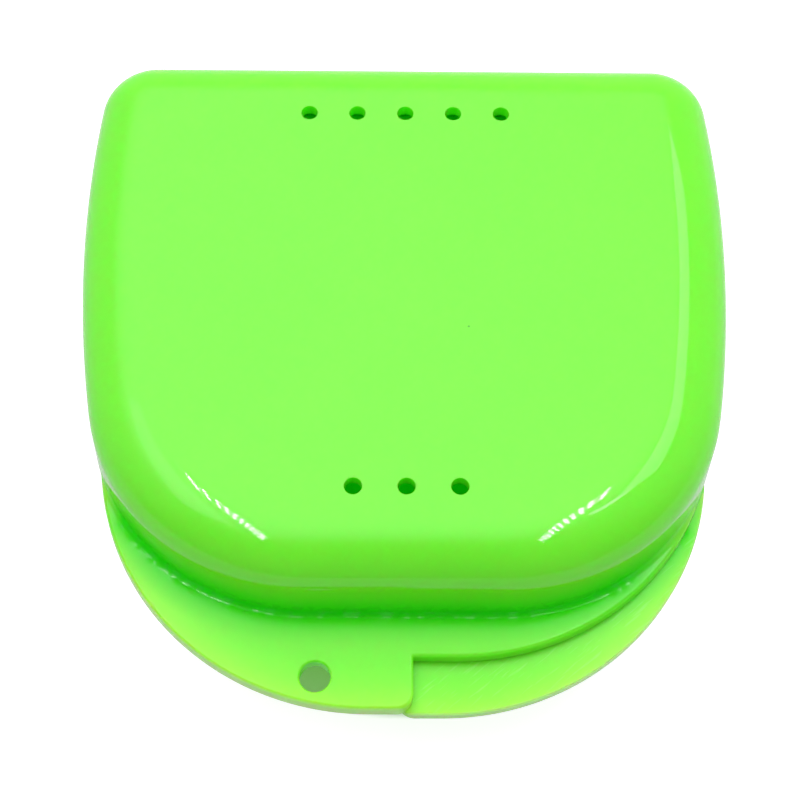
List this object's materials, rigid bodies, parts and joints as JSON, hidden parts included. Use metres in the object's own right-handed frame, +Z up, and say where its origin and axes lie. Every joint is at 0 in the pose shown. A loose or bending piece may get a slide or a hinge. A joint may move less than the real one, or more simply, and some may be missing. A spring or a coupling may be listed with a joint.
{
  "type": "orthodontic retainer case",
  "caption": "Hinged clamshell case in glossy green plastic for an orthodontic retainer, with air holes in the lid, offset finger tabs at the front and a lanyard hole.",
  "frame": {"origin": "centre of the flat underside that the case stands on, midway between its front and back walls", "axes": "+Z up through the lid, -Y towards the front with the finger tabs, +Y towards the hinge, +X to the right seen from the front"},
  "size_m": [0.08, 0.0893, 0.027],
  "materials": {
    "case_plastic": "glossy moulded polypropylene, bright lime green",
    "pin_steel": "drawn stainless steel wire"
  },
  "bodies": {
    "base": {"base_shell": "case_plastic", "hinge_pin_left": "pin_steel", "hinge_pin_right": "pin_steel"},
    "lid": {"lid_shell": "case_plastic"}
  },
  "joints": [
    {"name": "lid_hinge", "type": "hinge", "parent": "base", "child": "lid", "pos_m": [0, 0.0393, 0.014], "axis": [-1, 0, 0], "range_deg": [0, 180]}
  ]
}
